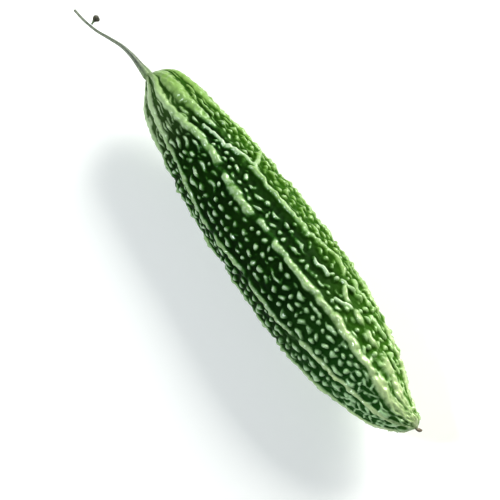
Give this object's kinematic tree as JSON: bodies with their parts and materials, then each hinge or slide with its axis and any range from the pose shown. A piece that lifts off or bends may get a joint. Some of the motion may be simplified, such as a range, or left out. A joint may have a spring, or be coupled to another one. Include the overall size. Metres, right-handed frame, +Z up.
{
  "type": "bitter gourd",
  "caption": "Long ribbed and warty green bitter gourd lying on its side, with its cut stalk, a dried bract on the stalk and a withered flower scar at the tip.",
  "frame": {"origin": "middle of the small flat spot that the fruit rests on, on the surface under it", "axes": "+X along the fruit from the stalk to the tip, +Z up"},
  "size_m": [0.2887, 0.0553, 0.0545],
  "materials": {
    "fruit_skin": "waxy green skin, semi-gloss, pale on the ribs and warts and dark in the valleys",
    "stalk_green": "matt grey-green fibrous stalk",
    "bract_dry": "matt, dried nearly black",
    "scar_brown": "matt, dried brown"
  },
  "bodies": {
    "root": {"fruit": "fruit_skin", "stalk": "stalk_green", "bract": "bract_dry", "flower_scar": "scar_brown"}
  },
  "joints": []
}
